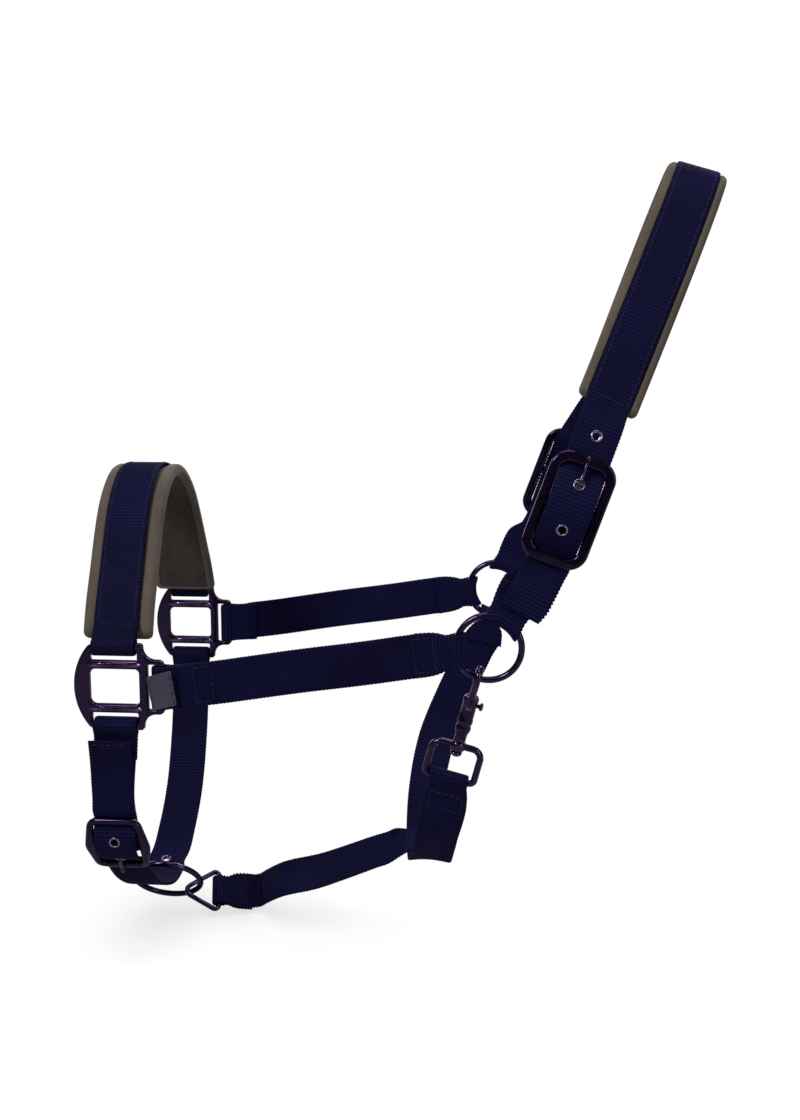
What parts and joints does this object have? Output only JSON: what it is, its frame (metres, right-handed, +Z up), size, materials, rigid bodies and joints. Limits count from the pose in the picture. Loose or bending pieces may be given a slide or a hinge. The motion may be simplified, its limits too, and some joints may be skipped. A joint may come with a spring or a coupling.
{
  "type": "head halter",
  "caption": "Padded navy webbing head halter for a horse, with cast squares, rings, buckled crown and chin straps, and a throat snap.",
  "frame": {"origin": "middle of the crown pad's inner face, where the halter rests on the poll", "axes": "+Z up, +X towards the poll end from the nose, +Y towards the far cheek; the middle plane is Y = 0"},
  "size_m": [0.3673, 0.197, 0.4706],
  "materials": {
    "webbing": "ribbed nylon webbing, matte",
    "padding": "soft bound padding, matte",
    "label": "folded cloth label, matte",
    "hardware": "cast and wire zinc alloy with a dark gunmetal plating, gloss",
    "eyelet": "rolled metal, satin",
    "spring": "drawn spring wire"
  },
  "bodies": {
    "noseband": {"nose_webbing": "webbing", "nose_pad": "padding", "near_square": "hardware", "far_square": "hardware", "near_cheek_strap": "webbing", "far_cheek_strap": "webbing", "cheek_label": "label", "chin_hanger": "webbing", "chin_buckle": "hardware", "chin_strap": "webbing", "chin_eyelet_1": "eyelet", "chin_eyelet_2": "eyelet", "chin_eyelet_3": "eyelet"},
    "near_ring": {"near_cheek_ring": "hardware"},
    "far_ring": {"far_cheek_ring": "hardware"},
    "crown": {"crown_strap": "webbing", "crown_pad": "padding", "near_crown_hanger": "webbing", "near_crown_buckle": "hardware", "near_crown_eyelet_1": "eyelet", "near_crown_eyelet_2": "eyelet", "near_crown_eyelet_3": "eyelet", "far_crown_hanger": "webbing", "far_crown_buckle": "hardware", "far_crown_eyelet_1": "eyelet", "far_crown_eyelet_2": "eyelet", "far_crown_eyelet_3": "eyelet"},
    "near_tongue": {"near_crown_tongue": "hardware"},
    "far_tongue": {"far_crown_tongue": "hardware"},
    "chin_tongue": {"chin_tongue": "hardware"},
    "throat": {"throat_strap": "webbing", "snap_eye": "hardware"},
    "jaw": {"jaw_strap": "webbing", "jaw_link": "hardware"},
    "chin_ring": {"chin_ring": "hardware"},
    "snap_body": {"snap_body": "hardware", "snap_spring": "spring"},
    "snap_bolt": {"snap_bolt": "hardware"}
  },
  "joints": [
    {"name": "near_ring_turn", "type": "hinge", "parent": "noseband", "child": "near_ring", "pos_m": [-0.11299, -0.09, -0.25578], "axis": [0, 1, 0], "continuous": true},
    {"name": "far_ring_turn", "type": "hinge", "parent": "noseband", "child": "far_ring", "pos_m": [-0.11299, 0.09, -0.25578], "axis": [0, 1, 0], "continuous": true},
    {"name": "crown_swing", "type": "hinge", "parent": "noseband", "child": "crown", "pos_m": [-0.11299, 0, -0.25578], "axis": [0, 1, 0], "range_deg": [-38, 60]},
    {"name": "near_tongue_lift", "type": "hinge", "parent": "crown", "child": "near_tongue", "pos_m": [-0.07079, -0.09, -0.17948], "axis": [0.9397, 0, -0.342], "range_deg": [0, 4]},
    {"name": "far_tongue_lift", "type": "hinge", "parent": "crown", "child": "far_tongue", "pos_m": [-0.07079, 0.09, -0.17948], "axis": [-0.9397, 0, 0.342], "range_deg": [0, 4]},
    {"name": "chin_tongue_lift", "type": "hinge", "parent": "noseband", "child": "chin_tongue", "pos_m": [-0.32999, -0.071, -0.38228], "axis": [-1, 0, 0], "range_deg": [0, 4]},
    {"name": "chin_ring_tilt", "type": "hinge", "parent": "noseband", "child": "chin_ring", "pos_m": [-0.32129, 0.003, -0.43428], "axis": [0, 1, 0], "range_deg": [-7, 7]},
    {"name": "throat_swing", "type": "hinge", "parent": "noseband", "child": "throat", "pos_m": [-0.11299, 0, -0.25578], "axis": [0, 1, 0], "range_deg": [-0.8, 0.8]},
    {"name": "jaw_swing", "type": "hinge", "parent": "throat", "child": "jaw", "pos_m": [-0.15899, 0, -0.40478], "axis": [0, 1, 0], "range_deg": [-1.8, 1.8]},
    {"name": "snap_swivel", "type": "hinge", "parent": "throat", "child": "snap_body", "pos_m": [-0.11874, -0.08584, -0.27236], "axis": [-0.2523, 0.1312, -0.9587], "range_deg": [-10, 10]},
    {"name": "snap_bolt_slide", "type": "slide", "parent": "snap_body", "child": "snap_bolt", "axis": [-0.2523, 0.1312, -0.9587], "range_m": [0, 0.007], "deforming": ["snap_spring"]}
  ],
  "couplings": [
    {"joint": "throat_swing", "follows": "chin_ring_tilt", "ratio": 0.1139},
    {"joint": "jaw_swing", "follows": "chin_ring_tilt", "ratio": -0.2528}
  ]
}
